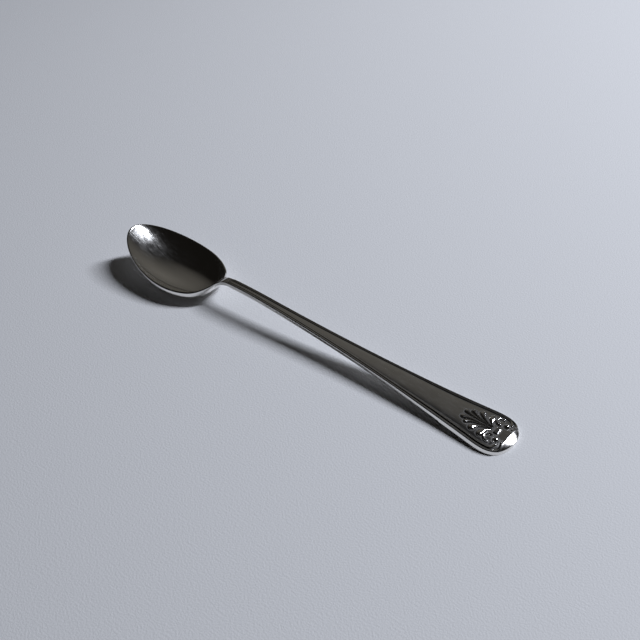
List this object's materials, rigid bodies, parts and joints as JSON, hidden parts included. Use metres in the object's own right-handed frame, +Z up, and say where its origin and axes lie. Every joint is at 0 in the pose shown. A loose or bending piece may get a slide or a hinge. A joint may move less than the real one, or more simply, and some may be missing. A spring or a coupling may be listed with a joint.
{
  "type": "serving spoon",
  "caption": "Long-handled serving spoon with an egg-shaped bowl, an arched neck and a flared handle with a double-thread border and a palmette.",
  "frame": {"origin": "middle of the spoon's box, on the table plane under it", "axes": "+X runs along the spoon from the bowl's tip to the handle's end, +Z is up out of the bowl"},
  "size_m": [0.2, 0.034, 0.0168],
  "materials": {
    "bowl_silver": "buffed, with fine wear scratches",
    "handle_silver": "polished",
    "relief_silver": "polished, bright on its raised parts"
  },
  "bodies": {
    "root": {"bowl": "bowl_silver", "handle": "handle_silver", "thread_outer_right": "relief_silver", "thread_outer_left": "relief_silver", "thread_inner_right": "relief_silver", "thread_inner_left": "relief_silver", "palmette": "relief_silver", "volute_right": "relief_silver", "volute_left": "relief_silver", "volute_beads": "relief_silver", "clasp": "relief_silver"}
  },
  "joints": []
}
